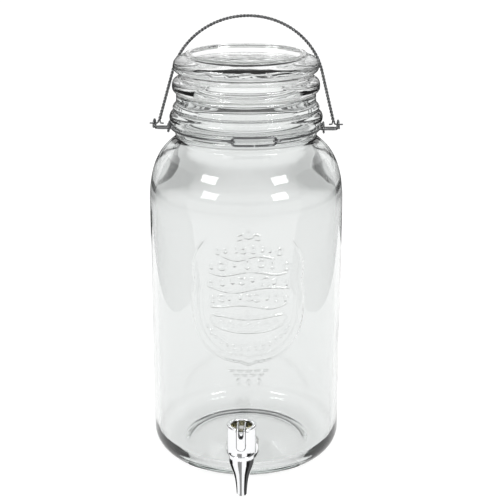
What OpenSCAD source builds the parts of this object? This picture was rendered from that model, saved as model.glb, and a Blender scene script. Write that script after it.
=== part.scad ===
// Glass dispenser jar with a lift-off glass lid, a twisted wire bail handle and a chromed tap.
// Origin: centre of the ring the jar rests on. +Z up, the tap points to -Y, the ears sit on +X and -X. Millimetres.

/* [Body] */
// outside radius of the straight glass wall
body_r = 77.4; // [60:0.1:95]
// height at which the straight wall starts to turn in to the shoulder
wall_top_z = 214; // [160:1:270]
// thickness of the straight wall
wall = 4.5; // [3.5:0.1:7]
// radius of the rounded heel at the bottom
heel_r = 18; // [10:0.5:24]
// thickness of the glass floor
floor_t = 8; // [5:0.5:12]
// height of the push-up in the middle of the floor
pushup = 3.5; // [1:0.5:5]

/* [Neck] */
// height from the end of the straight wall to the rim
neck_rise = 87.5; // [75:0.5:110]
// outside radius of the groove that holds the wire band
groove_r = 58.2; // [45:0.1:70]
// radius of the mouth
mouth_r = 50.2; // [38:0.1:62]

/* [Lid] */
// thickness of the rubber ring under the lid
gasket_t = 1.5; // [1:0.1:3]
// depth of the locating skirt below the lid's seat
plug_depth = 4.5; // [3:0.1:5]
// gap round the locating skirt, inside the mouth
plug_gap = 3.4; // [2:0.1:6]
// outside radius of the lid's rounded upper bulge
bulge_r = 57.2; // [45:0.1:70]
// height of the lid above its seat
lid_h = 30; // [24:0.5:40]

/* [Wire] */
// radius of the band, link and ear wire
wire_r = 0.85; // [0.5:0.05:1.2]
// radius of one strand of the twisted bail
strand_r = 0.65; // [0.5:0.05:1.2]
// length of one turn of the twist
twist_pitch = 5.6; // [5:0.1:12]
// distance of the bail's top from its pivots
bail_reach = 93.5; // [80:0.5:110]
// radius of the bail's arch
arch_r = 61.2; // [58:0.5:75]
// angle the bail leans back from upright
bail_lean = 33; // [15:1:45]
// turn of the front clasp away from the middle of the front
clasp_turn = 8; // [-15:0.5:15]
// width of the oblong clasp link
link_w = 36; // [24:0.5:50]
// height of the oblong clasp link
link_h = 7.6; // [6:0.1:12]

/* [Tap] */
// distance from the glass wall to the tap's upright axis
tap_reach = 20; // [18:0.5:30]
// height of the tap's shank above the base
shank_z = 33; // [31:0.5:60]
// outside radius of the tap's barrel
barrel_r = 11.3; // [10.5:0.1:14]
// height of the barrel
barrel_h = 23.5; // [20:0.1:30]
// radius of the threaded shank
shank_r = 7.4; // [6:0.1:10]
// lift of the valve when the lever is fully up
valve_lift = 3.5; // [2:0.1:4.5]

/* [Hidden] */
$fn = 96;

rim_z = wall_top_z + neck_rise;
band_z = rim_z - 26.5;
neck_in = groove_r - 8;                // inside of the neck below the mouth
seat_z = rim_z + gasket_t + 0.04;      // underside of the lid
pivot_z = rim_z - 25.5;
pivot_x = groove_r + 14.6;
band_c = groove_r + wire_r + 0.35;     // centreline of the band
eye_c = 2 * wire_r + 1.4;              // centreline radius of the band's end eyes, room for an ear's leg
eye_x = groove_r + wire_r + 2.05;      // plane of the end eyes
eye_z = band_z - 1.5;                  // the eyes hang a little below the band
leg_z = pivot_z - 3.35;                // ear legs
leg_y = 3.6;
ring_c = 3.15;                         // centreline radius of the ear's ring
bend_x = pivot_x - 3.7;                // foot of the twisted leg, inside the ear's ring
link_c = band_c + 2 * wire_r + 0.2;    // radius on which the clasp link lies
tap_y = -(body_r + tap_reach);
nozzle_top = shank_z + 4.5;
barrel_z = shank_z + 5.4;
barrel_top = barrel_z + barrel_h;
recess_z = barrel_top - 7;
web_z = recess_z - 2.6;
cam_h = 2.8;                           // lowest cam radius, lever down
cam_k = valve_lift / 90;               // lift for each degree of lever turn
pin_z = recess_z + cam_h + 0.03;
valve_z = shank_z - 4.5;               // valve seat
flange_y = -(body_r + 5.4);            // outer face of the flange

function unit(v) = v / norm(v);
function side(t) = unit(cross(t, abs(t[2]) > 0.8 ? [1, 0, 0] : [0, 0, 1]));
function tangents(p) = [for (i = [0:len(p) - 1])
    unit(p[min(i + 1, len(p) - 1)] - p[max(i - 1, 0)])];
function frames(t) = [for (i = 0, n = side(t[0]); i < len(t);
    i = i + 1, n = i < len(t) ? unit(n - (n * t[i]) * t[i]) : n) n];

// round wire along a list of points
module wire(p, r, sides = 8) {
    t = tangents(p);
    n = frames(t);
    m = len(p);
    pts = [for (i = [0:m - 1]) let (b = cross(t[i], n[i]))
        for (k = [0:sides - 1]) let (a = 360 * k / sides) p[i] + r * (cos(a) * n[i] + sin(a) * b)];
    tube = [for (i = [0:m - 2], k = [0:sides - 1])
        let (a = i * sides + k, b = i * sides + (k + 1) % sides)
        each [[a, b + sides, b], [a, a + sides, b + sides]]];
    ends = [[for (k = [0:sides - 1]) k], [for (k = [sides - 1:-1:0]) (m - 1) * sides + k]];
    polyhedron(points = pts, faces = concat(tube, ends), convexity = 6);
}

// ---------- glass ----------
function shoulder(f, g) = [groove_r - 2.4 + (body_r - groove_r + 2.4) * f, wall_top_z + (rim_z - 34.5 - wall_top_z) * g];
function arc(cx, cz, r, a0, a1, n) = [for (i = [0:n]) let (a = a0 + (a1 - a0) * i / n)
    [cx + r * cos(a), cz + r * sin(a)]];

outer = concat(
    [[0, pushup], [body_r - 34, pushup - 0.6], [body_r - 27, 0.7], [body_r - 25.2, 0], [body_r - 20.5, 0]],
    arc(body_r - heel_r, heel_r, heel_r, -82, 0, 9),
    [shoulder(1, 0), shoulder(0.995, 0.1), shoulder(0.98, 0.2), shoulder(0.95, 0.31),
     shoulder(0.9, 0.42), shoulder(0.825, 0.535), shoulder(0.72, 0.645), shoulder(0.585, 0.745),
     shoulder(0.43, 0.825), shoulder(0.27, 0.89), shoulder(0.13, 0.94), shoulder(0.04, 0.975),
     shoulder(0, 1.0)],
    [[groove_r - 1.9, rim_z - 31.5], [groove_r - 0.7, rim_z - 29.4], [groove_r, rim_z - 28],
     [groove_r, rim_z - 25], [groove_r + 0.4, rim_z - 23.9], [groove_r + 1.5, rim_z - 22.3],
     [groove_r + 2.15, rim_z - 20.6], [groove_r + 2.3, rim_z - 19], [groove_r + 2.05, rim_z - 17.3],
     [groove_r + 1.2, rim_z - 15.8], [groove_r - 0.1, rim_z - 14.7], [groove_r - 1, rim_z - 13.9],
     [groove_r - 1, rim_z - 13.1], [groove_r - 0.5, rim_z - 12.2], [groove_r - 0.3, rim_z - 11.3],
     [groove_r - 0.5, rim_z - 10.4], [groove_r - 1.3, rim_z - 9.4], [groove_r - 2.4, rim_z - 8.3],
     [groove_r - 3, rim_z - 6.5], [groove_r - 3.1, rim_z - 4], [groove_r - 3.2, rim_z - 1.6],
     [groove_r - 3.7, rim_z - 0.5], [groove_r - 4.5, rim_z], [mouth_r + 1.4, rim_z],
     [mouth_r + 0.4, rim_z - 0.6], [mouth_r, rim_z - 1.8], [mouth_r, rim_z - 16]]);
inner = concat(
    [[neck_in, rim_z - 26], [neck_in, rim_z - 35]],
    [for (s = [[0, 1], [0.02, 0.96], [0.12, 0.9], [0.28, 0.82], [0.45, 0.735], [0.62, 0.625],
        [0.77, 0.5], [0.875, 0.38], [0.95, 0.24], [0.985, 0.12], [1, 0]])
        [neck_in + (body_r - wall - neck_in) * s[0],
         wall_top_z - 2 + (rim_z - 36 - wall_top_z) * s[1]]],
    arc(body_r - wall - heel_r + 4, floor_t + heel_r - 4, heel_r - 4, 0, -90, 9),
    [[0, floor_t + 0.4]]);

module jar() {
    color([0.9, 0.95, 0.93, 0.35]) difference() {
        rotate_extrude($fn = 128) polygon(concat(outer, inner));
        translate([0, 0, shank_z]) rotate([90, 0, 0]) cylinder(r = shank_r + 0.5, h = body_r + 5);
    }
}

plug_r = mouth_r - plug_gap;
lid_r = bulge_r + 0.9;
module lid() {
    color([0.9, 0.95, 0.93, 0.35]) rotate_extrude($fn = 128) polygon([
        [0, seat_z + lid_h - 12.5], [plug_r - 6.5, seat_z + lid_h - 12.8],
        [plug_r - 4.9, seat_z + lid_h - 14.5], [plug_r - 4.4, seat_z], [plug_r - 4.2, seat_z - plug_depth + 0.6],
        [plug_r - 3.6, seat_z - plug_depth], [plug_r - 0.6, seat_z - plug_depth], [plug_r, seat_z - plug_depth + 0.6],
        [plug_r, seat_z], [lid_r - 2.4, seat_z], [lid_r - 1, seat_z + 0.5], [lid_r - 0.2, seat_z + 1.9],
        [lid_r, seat_z + 3.9], [lid_r - 0.15, seat_z + 6], [lid_r - 0.8, seat_z + 7.9],
        [lid_r - 2.2, seat_z + 9.3], [lid_r - 3.9, seat_z + 10.3], [lid_r - 5, seat_z + 11.4],
        [lid_r - 5.2, seat_z + 12.6], [lid_r - 4.8, seat_z + 13.8], [lid_r - 3.6, seat_z + 15],
        [lid_r - 2.1, seat_z + 16.1], [lid_r - 1.2, seat_z + 17.8], [lid_r - 0.9, seat_z + 19.8],
        [lid_r - 1.1, seat_z + 21.8], [lid_r - 1.9, seat_z + 23.6], [lid_r - 3.3, seat_z + 25],
        [lid_r - 5.4, seat_z + 26.1], [lid_r - 8, seat_z + 26.9], [lid_r - 9.6, seat_z + 27.6],
        [lid_r - 10.4, seat_z + 28.6], [lid_r - 11.2, seat_z + lid_h - 0.4], [lid_r - 12.4, seat_z + lid_h],
        [lid_r - 13.6, seat_z + lid_h - 0.4], [lid_r - 14.6, seat_z + lid_h - 1.8],
        [lid_r - 16, seat_z + lid_h - 4.5], [lid_r - 18, seat_z + lid_h - 6], [lid_r - 21, seat_z + lid_h - 6.6],
        [0, seat_z + lid_h - 6.9]]);
}

module lid_gasket() {
    color([0.86, 0.88, 0.86]) translate([0, 0, rim_z + 0.02]) difference() {
        cylinder(r = groove_r - 3.4, h = gasket_t);
        translate([0, 0, -1]) cylinder(r = plug_r + 0.1, h = gasket_t + 2);
    }
}

// ---------- wire band, clasp and ears ----------
// end eye of a band wire: s = -1 for the front side of the ear, 1 for the back
function eye(s) = [for (i = [0:15]) let (a = 180 - 22 * i)
    [eye_x + 0.02 * i, s * (4.6 - eye_c * cos(a)), eye_z + eye_c * sin(a)]];
function lead(s) = [[band_c * cos(13), s * band_c * sin(13), band_z],
    [band_c * cos(11) + 0.3, s * (band_c * sin(11)), band_z - 0.4],
    [eye_x - 0.15, s * (9.2), eye_z + 0.2], [eye_x - 0.02, s * 8.2, eye_z - 0.2]];
function eye_path(s) = concat(lead(s), [for (i = [1:15]) eye(s)[i]]);
function flip(p) = [for (q = p) [-q[0], q[1], q[2]]];
function back(p) = [for (i = [len(p) - 1:-1:0]) p[i]];
function ring_arc(a0, a1, n) = [for (i = [0:n]) let (a = a0 + (a1 - a0) * i / n)
    [band_c * cos(a), band_c * sin(a), band_z]];

module band_back() color([0.8, 0.81, 0.83])
    wire(concat(back(eye_path(1)), ring_arc(18, 162, 28), flip(eye_path(1))), wire_r);

hook_a = asin((link_w / 2 - wire_r - 0.2) / link_c);   // half angle of the link's end bars
// the wire runs behind the link's end bar and hooks back over it
function hook(c) = let (o = link_c - band_c)
    concat([for (i = [0:8]) let (a = -90 + 180 * i / 8 )
        [c * o * cos(a), link_c + o * sin(a)]], [[-c * 1.4, link_c + o], [-c * 2.6, link_c + o - 0.1]]);
function hook_path(c) = let (mid = -90 + clasp_turn + c * hook_a)
    [for (q = hook(-c)) let (a = mid + q[0] / q[1] * 57.3) [q[1] * cos(a), q[1] * sin(a), band_z]];

module band_front_right() color([0.8, 0.81, 0.83])
    wire(concat(back(eye_path(-1)), ring_arc(-18, -90 + clasp_turn + hook_a + 3, 10), hook_path(1)), wire_r);
module band_front_left() color([0.8, 0.81, 0.83])
    wire(concat(back(flip(eye_path(-1))), ring_arc(-162, -90 + clasp_turn - hook_a - 3, 10), hook_path(-1)), wire_r);

// oblong link lying against the neck, its ends meeting in a butt joint at the bottom
function link_flat() = let (h = link_h / 2 - wire_r, l = link_w / 2 - wire_r - h)
    concat([for (i = [0:6]) [0.3 + (l - 0.3) * i / 6, -h]],
        [for (i = [1:9]) let (a = -90 + 20 * i) [l + h * cos(a), h * sin(a)]],
        [for (i = [1:12]) [l - 2 * l * i / 12, h]],
        [for (i = [1:9]) let (a = 90 + 20 * i) [-l + h * cos(a), h * sin(a)]],
        [for (i = [1:6]) [-l + (l - 0.3) * i / 6, -h]]);
module clasp_link() color([0.8, 0.81, 0.83])
    wire([for (q = link_flat()) let (a = -90 + clasp_turn + q[0] / link_c * 57.3)
        [link_c * cos(a), link_c * sin(a), band_z + q[1]]], wire_r);

// an ear: hooked inner ends, two legs along X and one coil round the pivot
function ear_half(s) = [[eye_x - 2 * wire_r - 0.1, s * leg_y, leg_z + 2.6], [eye_x - 2 * wire_r - 0.1, s * leg_y, leg_z + 1.2],
    [eye_x - 2 * wire_r + 0.15, s * leg_y, leg_z + 0.35], [eye_x - 2 * wire_r + 0.9, s * leg_y, leg_z],
    [eye_x + 1, s * leg_y, leg_z], [pivot_x - 4.4, s * leg_y, leg_z], [pivot_x - 2.6, s * (leg_y - 0.2), leg_z],
    [pivot_x - 1.4, s * (leg_y - 0.9), leg_z + 0.05]];
function coil() = [for (i = [0:20]) let (a = -108 + 396 * i / 20)
    [pivot_x - 0.9 + 1.8 * i / 20, ring_c * cos(a), pivot_z + ring_c * sin(a)]];
function ear_path() = concat(ear_half(-1), coil(),
    [[pivot_x + 0.7, leg_y - 1.5, leg_z - 0.2], [pivot_x - 0.1, leg_y - 0.7, leg_z - 0.1]], [for (i = [6:-1:0]) ear_half(1)[i]]);
module ear_right() color([0.8, 0.81, 0.83]) wire(ear_path(), wire_r - 0.05);
module ear_left() color([0.8, 0.81, 0.83]) mirror([1, 0, 0]) wire(ear_path(), wire_r - 0.05);

// ---------- bail ----------
arch_z = bail_reach - arch_r;
tang_d = norm([bend_x, 2 - arch_z]);
tang_a = acos(arch_r / tang_d) + atan2(2 - arch_z, bend_x);
tang_p = [arch_r * cos(tang_a), arch_z + arch_r * sin(tang_a)];
leg_l = norm([bend_x, 2] - tang_p);
arch_l = arch_r * (180 - 2 * tang_a) * PI / 180;
run = 2 * leg_l + arch_l;
turns = round(run / twist_pitch);
// centreline point and inward normal at distance s from the right-hand bend
function cl(s) = s < leg_l ? concat([bend_x, 2] + (tang_p - [bend_x, 2]) * s / leg_l, tang_a + 180)
    : s > run - leg_l ? concat([-tang_p[0], tang_p[1]] + ([-bend_x, 2] - [-tang_p[0], tang_p[1]]) * (s - run + leg_l) / leg_l, -tang_a)
    : let (a = tang_a + (s - leg_l) / arch_r * 180 / PI) [arch_r * cos(a), arch_z + arch_r * sin(a), a + 180];
half_gap = strand_r + 0.09;
function strand(s, amplitude, phase) = let (c = cl(s), f = phase + 360 * turns * s / run,
    x = c[0] + amplitude * cos(f) * cos(c[2]), r = c[1] + amplitude * cos(f) * sin(c[2]), y = amplitude * sin(f))
    [x, y, r];
function lean(p) = [p[0], p[1] * cos(bail_lean) + p[2] * sin(bail_lean),
    pivot_z - p[1] * sin(bail_lean) + p[2] * cos(bail_lean)];
steps = turns * 7;
// at each foot the two strands part along X: one runs out through the ear's ring, the other turns in
out_end = [[pivot_x + 3.9, 0, 0], [pivot_x + 2, 0, 0], [pivot_x, 0, 0], [pivot_x - 1.2, 0, 0], [bend_x + half_gap + 1, 0, 0.12],
    [bend_x + half_gap + 0.35, 0, 0.5], [bend_x + half_gap + 0.05, 0, 1.2]];
in_end = [[groove_r + 7.2, 0, 0], [bend_x - half_gap - 1.9, 0, 0], [bend_x - half_gap - 1, 0, 0.12],
    [bend_x - half_gap - 0.35, 0, 0.5], [bend_x - half_gap - 0.05, 0, 1.2]];
module bail_wire(end, phase) wire([for (q = concat(end, [for (i = [0:steps]) strand(run * i / steps, half_gap, phase)],
    back(flip(end)))) lean(q)], strand_r, 6);
module bail_strand_a() color([0.8, 0.81, 0.83]) bail_wire(out_end, 180);
module bail_strand_b() color([0.8, 0.81, 0.83]) bail_wire(in_end, 0);

// ---------- tap ----------
module at_tap() translate([0, tap_y, 0]) children();
module along_y(y0, y1) translate([0, y1, 0]) rotate([90, 0, 0]) linear_extrude(y1 - y0) children();

module tap_body() color([0.82, 0.83, 0.85]) difference() {
    union() {
        at_tap() rotate_extrude() polygon([[0, 1.2], [3.55, 1.2], [3.85, 1.6], [4, 3.2], [4.2, 5.5], [4.55, 9],
            [5, 12.5], [5.6, 16], [6.5, 19.5], [7.6, 22.7], [8.7, 26], [9.6, valve_z + 1], [10, nozzle_top - 0.4], [9.6, nozzle_top],
            [9.2, nozzle_top], [9.2, web_z - 0.9], [0, web_z - 0.9]]);
        translate([0, 0, shank_z]) along_y(tap_y, flange_y + 0.5) circle(r = 5);
        translate([0, 0, shank_z]) along_y(flange_y, flange_y + 2) circle(r = 12.6);
        translate([0, 0, shank_z]) along_y(flange_y + 1, -body_r + 15.9) circle(r = shank_r);
    }
    at_tap() rotate_extrude() polygon([[0, 0], [3.2, 0], [3.2, 12], [4, valve_z - 1], [4.4, valve_z],
        [6.8, valve_z], [6.8, web_z], [0, web_z]]);
    translate([0, 0, shank_z]) along_y(tap_y, -body_r + 20) circle(r = 3.6);
}

module tap_bonnet() color([0.82, 0.83, 0.85]) difference() {
    at_tap() rotate_extrude() polygon([[9.3, barrel_z], [barrel_r - 0.3, barrel_z], [barrel_r - 0.1, barrel_z + 0.4],
        [barrel_r, barrel_top - 2.6], [barrel_r + 0.25, barrel_top - 1.8], [barrel_r + 0.1, barrel_top - 0.5],
        [barrel_r - 0.8, barrel_top], [8.6, barrel_top - 0.2], [8.1, barrel_top - 0.8], [8.1, recess_z], [2.2, recess_z],
        [2.2, web_z + 1.8], [3.9, web_z + 1.8], [3.9, web_z], [9.3, web_z]]);
    translate([-4.2, tap_y - barrel_r - 2, barrel_top - 3.4]) cube([8.4, barrel_r + 2 - 6, 6]);
}

module bonnet_gasket() color([0.2, 0.2, 0.2]) at_tap() translate([0, 0, web_z - 0.88]) difference() {
    cylinder(r = 9, h = 0.86);
    translate([0, 0, -1]) cylinder(r = 6.9, h = 3);
}

module stem_oring() color([0.15, 0.15, 0.15]) at_tap() translate([0, 0, web_z + 0.9])
    rotate_extrude() translate([2.86, 0]) circle(r = 0.82, $fn = 24);

// support curve of the cam: its reach below the pin grows evenly with the turn of the lever
function cam(f) = let (h = cam_h + cam_k * f, k = cam_k * 180 / PI)
    [h * sin(f) + k * cos(f), -h * cos(f) + k * sin(f)];
front = barrel_r + 0.75;               // back face of the tongue, from the tap's axis
module lever_profile() polygon(concat([for (f = [0:6:90]) cam(f)],
    [[cam(90)[0] - 0.7, 2.6], [4.2, 3.6], [0, 3.9], [-front + 1.4, 4.6], [-front - 1.1, 3.7], [-front - 2, 1.6],
     [-front - 2, -12.6], [-front - 1.5, -13.1], [-front, -13.1], [-front, 0.4], [-front + 0.5, 1.2],
     [-6.4, 1.2], [-2.4, -cam_h]]));
module tap_lever() color([0.82, 0.83, 0.85]) translate([0, tap_y, pin_z]) difference() {
    intersection() {
        rotate([90, 0, 90]) translate([0, 0, -3.7]) linear_extrude(7.4) lever_profile();
        translate([0, 20, 0]) rotate([90, 0, 0]) linear_extrude(50) union() {
            translate([-3.7, -9.4]) square([7.4, 20]);
            translate([0, -9.4]) circle(r = 3.7);
        }
    }
    translate([-2, -8.8, -8]) cube([4, 30, 16]);
    translate([-1.5, -front - 4, -0.6]) cube([3, 10, 12]);
    translate([0, -front + 6, -0.6]) rotate([90, 0, 0]) cylinder(r = 1.5, h = 10);
    translate([-5, 0, 0]) rotate([0, 90, 0]) cylinder(r = 1.02, h = 10);
}

module lever_pin() color([0.7, 0.71, 0.73]) translate([-3.6, tap_y, pin_z]) rotate([0, 90, 0]) cylinder(r = 1, h = 7.2);

module valve_stem() color([0.75, 0.76, 0.78]) at_tap() difference() {
    union() {
        translate([0, 0, valve_z + 2]) cylinder(r = 1.8, h = pin_z - valve_z - 2);
        translate([0, 0, valve_z + 2]) cylinder(r = 3, h = 1.6);
        translate([-1.65, 0, pin_z]) rotate([0, 90, 0]) cylinder(r = 2.2, h = 3.3);
    }
    translate([-5, 0, pin_z]) rotate([0, 90, 0]) cylinder(r = 1.05, h = 10);
}

module seat_cup() color([0.25, 0.25, 0.25]) at_tap() difference() {
    rotate_extrude() polygon([[0, valve_z + 0.02], [5, valve_z + 0.02], [5.6, valve_z + 0.6], [5.6, valve_z + 3.4],
        [5, valve_z + 5.2], [2.6, valve_z + 6.4], [0, valve_z + 6.4]]);
    translate([0, 0, valve_z + 1.98]) cylinder(r = 3.02, h = 1.66);
    translate([0, 0, valve_z + 3]) cylinder(r = 1.84, h = 9);
}

module outer_washer() color([0.85, 0.86, 0.84]) difference() {
    translate([0, 0, shank_z]) along_y(flange_y + 2.02, -body_r + 3) difference() {
        circle(r = 13.2);
        circle(r = shank_r + 0.05);
    }
    cylinder(r = body_r + 0.05, h = 90, $fn = 256);
}

module inner_washer() color([0.85, 0.86, 0.84]) intersection() {
    translate([0, 0, shank_z]) along_y(-body_r + 2, -body_r + wall + 2.4) difference() {
        circle(r = 11.8);
        circle(r = shank_r + 0.05);
    }
    cylinder(r = body_r - wall - 0.05, h = 90, $fn = 256);
}

module shank_nut() color([0.88, 0.88, 0.86]) translate([0, 0, shank_z])
    along_y(-body_r + wall + 2.42, -body_r + wall + 8.4) difference() {
        circle(r = 12.4, $fn = 6);
        circle(r = shank_r + 0.04);
    }

jar();
lid();
lid_gasket();
band_back();
band_front_left();
band_front_right();
clasp_link();
ear_left();
ear_right();
bail_strand_a();
bail_strand_b();
tap_body();
tap_bonnet();
bonnet_gasket();
stem_oring();
tap_lever();
lever_pin();
valve_stem();
seat_cup();
outer_washer();
inner_washer();
shank_nut();
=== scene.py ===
import bmesh
import bpy
import math
import numpy as np
from mathutils import Matrix, Vector


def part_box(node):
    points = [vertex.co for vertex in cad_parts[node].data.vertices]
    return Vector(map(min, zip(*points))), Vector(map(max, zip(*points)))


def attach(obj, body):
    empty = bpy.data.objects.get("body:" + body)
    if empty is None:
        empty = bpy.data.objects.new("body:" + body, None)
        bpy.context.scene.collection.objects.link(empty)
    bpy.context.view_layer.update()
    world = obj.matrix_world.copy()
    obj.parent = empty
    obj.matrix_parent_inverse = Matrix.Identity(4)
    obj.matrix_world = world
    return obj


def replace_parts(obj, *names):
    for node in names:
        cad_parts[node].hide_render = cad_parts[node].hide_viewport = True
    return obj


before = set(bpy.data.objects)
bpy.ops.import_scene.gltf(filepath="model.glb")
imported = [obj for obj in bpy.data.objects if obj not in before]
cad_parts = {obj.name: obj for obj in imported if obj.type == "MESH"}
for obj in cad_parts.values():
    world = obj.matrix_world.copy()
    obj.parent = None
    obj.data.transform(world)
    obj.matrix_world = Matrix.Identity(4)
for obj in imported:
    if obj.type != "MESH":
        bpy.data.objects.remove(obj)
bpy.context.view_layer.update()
PI = math.pi
MM = 0.001


def mm_box(node):
    """Lowest and highest corner of a CAD node, in millimetres."""
    lo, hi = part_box(node)
    return [v / MM for v in lo], [v / MM for v in hi]


def rad(a):
    return math.radians(a)


def link_object(name, data):
    o = bpy.data.objects.new(name, data)
    bpy.context.collection.objects.link(o)
    return o


# ------------------------------------------------------------------ camera
cam_data = bpy.data.cameras.new("camera")
cam_data.lens = 90
cam_data.sensor_width = 36
cam_data.clip_end = 60
cam = link_object("camera", cam_data)
bpy.context.scene.camera = cam
AIM = Vector((0.0031, 0.0, 0.171))
PITCH, AZ, DIST = rad(17.8), rad(2.0), 1.022
SIGHT = Vector((math.sin(AZ) * math.cos(PITCH), -math.cos(AZ) * math.cos(PITCH), math.sin(PITCH)))
cam.location = AIM + DIST * SIGHT
cam.rotation_euler = (AIM - cam.location).to_track_quat("-Z", "Y").to_euler()


# ------------------------------------------------------------------ materials
def new_material(name):
    m = bpy.data.materials.new(name)
    m.use_nodes = True
    nt = m.node_tree
    return m, nt, nt.nodes["Principled BSDF"]


def bump(nt, bsdf, scale, strength, distance, detail=3.0, stretch=(1, 1, 1)):
    """Fine unevenness from noise in object space; returns the noise node."""
    tc = nt.nodes.new("ShaderNodeTexCoord")
    mp = nt.nodes.new("ShaderNodeMapping")
    mp.inputs["Scale"].default_value = stretch
    no = nt.nodes.new("ShaderNodeTexNoise")
    no.inputs["Scale"].default_value = scale
    no.inputs["Detail"].default_value = detail
    bu = nt.nodes.new("ShaderNodeBump")
    bu.inputs["Strength"].default_value = strength
    bu.inputs["Distance"].default_value = distance
    nt.links.new(tc.outputs["Object"], mp.inputs["Vector"])
    nt.links.new(mp.outputs["Vector"], no.inputs["Vector"])
    nt.links.new(no.outputs["Fac"], bu.inputs["Height"])
    nt.links.new(bu.outputs["Normal"], bsdf.inputs["Normal"])
    return no


def rough_from(nt, bsdf, noise, lo, hi):
    """Roughness that wanders between lo and hi with the noise."""
    mr = nt.nodes.new("ShaderNodeMapRange")
    mr.inputs["From Min"].default_value = 0.3
    mr.inputs["From Max"].default_value = 0.7
    mr.inputs["To Min"].default_value = lo
    mr.inputs["To Max"].default_value = hi
    nt.links.new(noise.outputs["Fac"], mr.inputs["Value"])
    nt.links.new(mr.outputs["Result"], bsdf.inputs["Roughness"])


def glass(name, wav=0.35, tint=(0.855, 0.863, 0.860), density=4.5, grain=34.0):
    m, nt, b = new_material(name)
    b.inputs["Base Color"].default_value = (*tint, 1)
    b.inputs["Transmission Weight"].default_value = 1.0
    b.inputs["IOR"].default_value = 1.5
    n = bump(nt, b, grain, wav, 0.0006, 2.0, (1, 1, 0.45))
    rough_from(nt, b, n, 0.0, 0.02)
    ab = nt.nodes.new("ShaderNodeVolumeAbsorption")
    ab.inputs["Color"].default_value = (0.60, 0.72, 0.68, 1)
    ab.inputs["Density"].default_value = density
    nt.links.new(ab.outputs["Volume"], nt.nodes["Material Output"].inputs["Volume"])
    return m


def chrome(name, base=(0.86, 0.865, 0.875), lo=0.03, hi=0.09, scale=260.0, strength=0.03):
    m, nt, b = new_material(name)
    b.inputs["Metallic"].default_value = 1.0
    b.inputs["Base Color"].default_value = (*base, 1)
    n = bump(nt, b, scale, strength, 0.0004)
    rough_from(nt, b, n, lo, hi)
    return m


def tinted(name, a, c, rough, scale, strength, metallic=0.0, trans=0.0, ior=1.45):
    """A finish whose colour wanders between a and c."""
    m, nt, b = new_material(name)
    n = bump(nt, b, scale, strength, 0.0005)
    ramp = nt.nodes.new("ShaderNodeValToRGB")
    ramp.color_ramp.elements[0].position, ramp.color_ramp.elements[0].color = 0.3, (*a, 1)
    ramp.color_ramp.elements[1].position, ramp.color_ramp.elements[1].color = 0.7, (*c, 1)
    nt.links.new(n.outputs["Fac"], ramp.inputs["Fac"])
    nt.links.new(ramp.outputs["Color"], b.inputs["Base Color"])
    rough_from(nt, b, n, rough[0], rough[1])
    b.inputs["Metallic"].default_value = metallic
    b.inputs["Transmission Weight"].default_value = trans
    b.inputs["IOR"].default_value = ior
    return m


M_GLASS = glass("clear_glass")
M_LID = glass("lid_glass", 0.9, (0.985, 0.99, 0.987), 1.0, 52.0)
# plated wire with its colour set far darker than real plating: painted shade standing in for the dark surroundings the
# wire reflects
M_WIRE_PAINTED_DARK = chrome("plated_wire_painted_dark", (0.15, 0.152, 0.155), 0.06, 0.14, 420.0, 0.06)
# near-black polished chrome: painted shade for the dark gap and shadow lines round the lever and in the cap's notch
M_PAINTED_SHADE_EDGE = chrome("painted_shade_edge", (0.05, 0.05, 0.052), 0.08, 0.16)
M_CHROME = chrome("tap_chrome")
M_STEEL = tinted("turned_steel", (0.50, 0.50, 0.49), (0.66, 0.66, 0.65), (0.22, 0.38), 300.0, 0.1, 1.0)
M_BRASS = tinted("recess_plating", (0.55, 0.53, 0.40), (0.74, 0.72, 0.58), (0.12, 0.28), 500.0, 0.2, 1.0)
M_SILICONE = tinted("silicone", (0.80, 0.82, 0.80), (0.90, 0.91, 0.89), (0.35, 0.5), 220.0, 0.08, trans=0.45, ior=1.41)
M_RUBBER = tinted("black_rubber", (0.02, 0.02, 0.02), (0.045, 0.045, 0.045), (0.5, 0.7), 600.0, 0.15)
M_PLASTIC = tinted("white_plastic", (0.80, 0.80, 0.78), (0.88, 0.88, 0.86), (0.3, 0.42), 380.0, 0.06)


# ------------------------------------------------------------------ mesh helpers
def make(name, verts, faces, mat, body):
    """A smooth piece from points in millimetres, riding on a body."""
    me = bpy.data.meshes.new(name)
    me.from_pydata([tuple(c * MM for c in v) for v in verts], [], faces)
    me.validate()
    bm = bmesh.new()
    bm.from_mesh(me)
    bmesh.ops.recalc_face_normals(bm, faces=bm.faces)
    bm.to_mesh(me)
    bm.free()
    me.shade_smooth()
    o = link_object(name, me)
    me.materials.append(mat)
    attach(o, body)
    return o


def skin(rows, closed=False):
    """Quads between rows of vertex numbers that go all the way round; a pole is a row of one number repeated."""
    m = len(rows[0])
    faces = []
    for a, b in list(zip(rows, rows[1:])) + ([(rows[-1], rows[0])] if closed else []):
        for k in range(m):
            f = [a[k], a[(k + 1) % m], b[(k + 1) % m], b[k]]
            g = [v for i, v in enumerate(f) if v not in f[:i]]
            if len(g) > 2:
                faces.append(g)
    return faces


def cut_away(piece, name, bm):
    """Takes the closed shape in bm out of a piece."""
    me = bpy.data.meshes.new(name)
    bm.to_mesh(me)
    bm.free()
    cutter = link_object(name, me)
    md = piece.modifiers.new(name, "BOOLEAN")
    md.operation, md.object, md.solver = "DIFFERENCE", cutter, "EXACT"
    whole = bpy.context.evaluated_depsgraph_get()
    cut = bpy.data.meshes.new_from_object(piece.evaluated_get(whole))
    piece.modifiers.clear()
    piece.data = cut
    bpy.data.objects.remove(cutter)


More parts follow.
